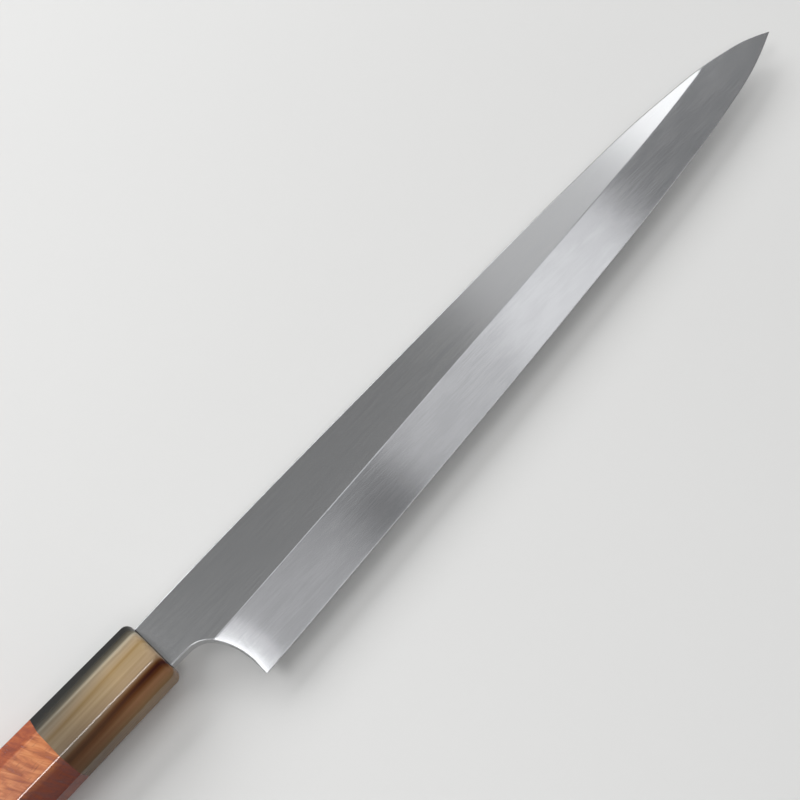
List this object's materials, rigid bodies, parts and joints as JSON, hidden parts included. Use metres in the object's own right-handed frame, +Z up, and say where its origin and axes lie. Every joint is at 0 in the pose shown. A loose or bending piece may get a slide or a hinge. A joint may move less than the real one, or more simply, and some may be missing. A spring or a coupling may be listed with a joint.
{
  "type": "yanagiba knife",
  "caption": "Long slender single-bevel slicing knife with a ridge line, a hollow-ground back and a curved point, on a straight octagonal wooden handle with a horn ferrule.",
  "frame": {"origin": "on the handle's axis, in the plane of the ferrule's front face, where the blade enters the handle", "axes": "+X from the handle to the tip, +Y from the cutting edge to the spine, +Z from the hollow back to the bevelled front; the knife lies on its back with +Z up"},
  "size_m": [0.4144, 0.0377, 0.0204],
  "materials": {
    "blade_steel": "fine satin on the bevel, brighter polish on the flat",
    "horn": "polished buffalo horn, streaked grey, tan and brown",
    "handle_wood": "polished figured red-brown hardwood",
    "dowel_wood": "plain turned softwood",
    "seal_resin": "dark set resin"
  },
  "bodies": {
    "root": {"blade": "blade_steel", "ferrule": "horn", "handle_body": "handle_wood", "inner_dowel": "dowel_wood", "tang_seal": "seal_resin"}
  },
  "joints": []
}
